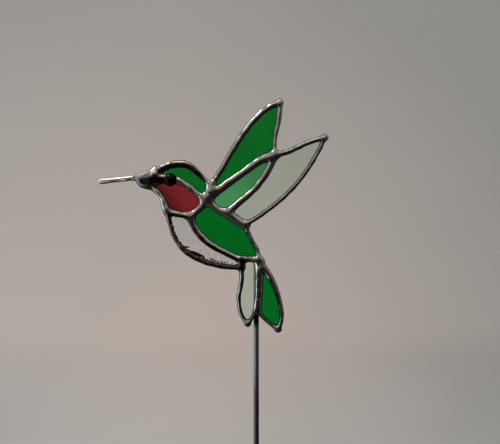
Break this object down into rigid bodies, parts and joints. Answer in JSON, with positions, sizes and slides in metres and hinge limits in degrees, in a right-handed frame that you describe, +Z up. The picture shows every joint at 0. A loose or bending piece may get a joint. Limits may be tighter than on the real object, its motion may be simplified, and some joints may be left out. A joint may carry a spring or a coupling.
{
  "type": "garden stake",
  "caption": "Stained-glass hummingbird in soldered copper foil, seen side on with its wings raised, on a straight steel rod cut off flat where it enters the ground.",
  "frame": {"origin": "middle of the rod's flat lower end, on the ground line", "axes": "+Z up along the rod; the bird lies flat in a plane parallel to XZ, its front faces -Y and its bill points to -X"},
  "size_m": [0.1349, 0.0105, 0.3253],
  "materials": {
    "solder": "polished tin-lead solder over copper foil, with a dark patina in the hollows",
    "deep_green_glass": "smooth deep green cathedral glass",
    "pale_green_glass": "lighter green cathedral glass, a little paler towards the body",
    "sage_glass": "pale sage cathedral glass, nearly clear",
    "ruby_glass": "ruby glass, darker towards the bill",
    "clear_glass": "clear glass with a rippled surface",
    "black_glass": "glossy black",
    "tinned_wire": "bright wire, lightly tinned",
    "steel_rod": "smooth drawn steel, dark near the solder"
  },
  "bodies": {
    "root": {"solder_web": "solder", "crown_glass": "deep_green_glass", "throat_glass": "ruby_glass", "back_glass": "deep_green_glass", "belly_glass": "clear_glass", "upper_wing_glass": "deep_green_glass", "middle_wing_glass": "pale_green_glass", "rear_wing_glass": "sage_glass", "undertail_glass": "sage_glass", "tail_glass": "deep_green_glass", "eye_bead": "black_glass", "beak_wire": "tinned_wire", "stake_rod": "steel_rod"}
  },
  "joints": []
}
